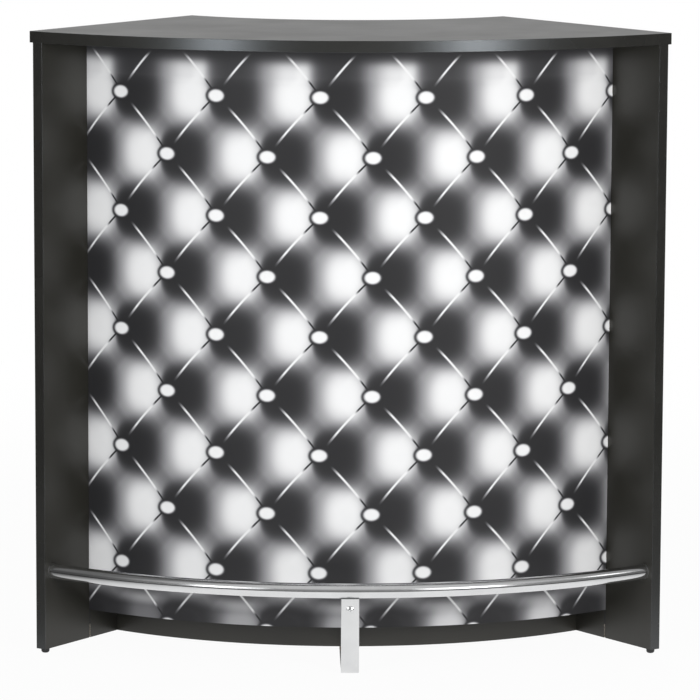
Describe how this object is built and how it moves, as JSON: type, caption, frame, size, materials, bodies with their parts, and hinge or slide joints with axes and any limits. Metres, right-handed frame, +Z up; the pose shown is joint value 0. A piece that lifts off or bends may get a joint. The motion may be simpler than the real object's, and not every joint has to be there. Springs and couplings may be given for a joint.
{
  "type": "bar counter",
  "caption": "Curved free-standing bar counter with a deep-buttoned print on its bent front panel, an open shelved back and a chrome foot rail.",
  "frame": {"origin": "on the floor, in the middle of the counter's width and depth", "axes": "+Z up, -Y towards the customer's side with the foot rail, +X to the right when seen from the front"},
  "size_m": [1.0628, 0.5378, 1.05],
  "materials": {
    "melamine": "near-black melamine on chipboard, fine satin grain",
    "edge_band": "near-black plastic edge band, semi-gloss",
    "printed_board": "thin hardboard with a lacquered black, grey and white print of deep-buttoned upholstery",
    "black_plastic": "black moulded plastic",
    "chrome": "bright chrome plating on steel",
    "zinc": "bright zinc-plated steel",
    "beech": "plain beech",
    "softwood": "plain sawn softwood"
  },
  "bodies": {
    "root": {"worktop": "melamine", "worktop_front_band": "edge_band", "worktop_end_bands": "edge_band", "worktop_rear_band": "edge_band", "side_panel_left": "melamine", "side_panel_right": "melamine", "side_front_bands": "edge_band", "side_rear_bands": "edge_band", "front_panel": "printed_board", "groove_wedges": "black_plastic", "plinth": "melamine", "plinth_block": "softwood", "bottom_shelf": "melamine", "middle_shelf": "melamine", "upper_shelf": "melamine", "shelf_bands": "edge_band", "shelf_pins": "zinc", "foot_rail": "chrome", "rail_plugs": "zinc", "plug_screws": "zinc", "rail_support": "chrome", "support_screw": "chrome", "support_nut": "zinc", "foot_screw": "zinc", "glides": "black_plastic", "glide_nails": "zinc", "cam_locks": "zinc", "cam_bolts": "zinc", "dowels": "beech"}
  },
  "joints": []
}
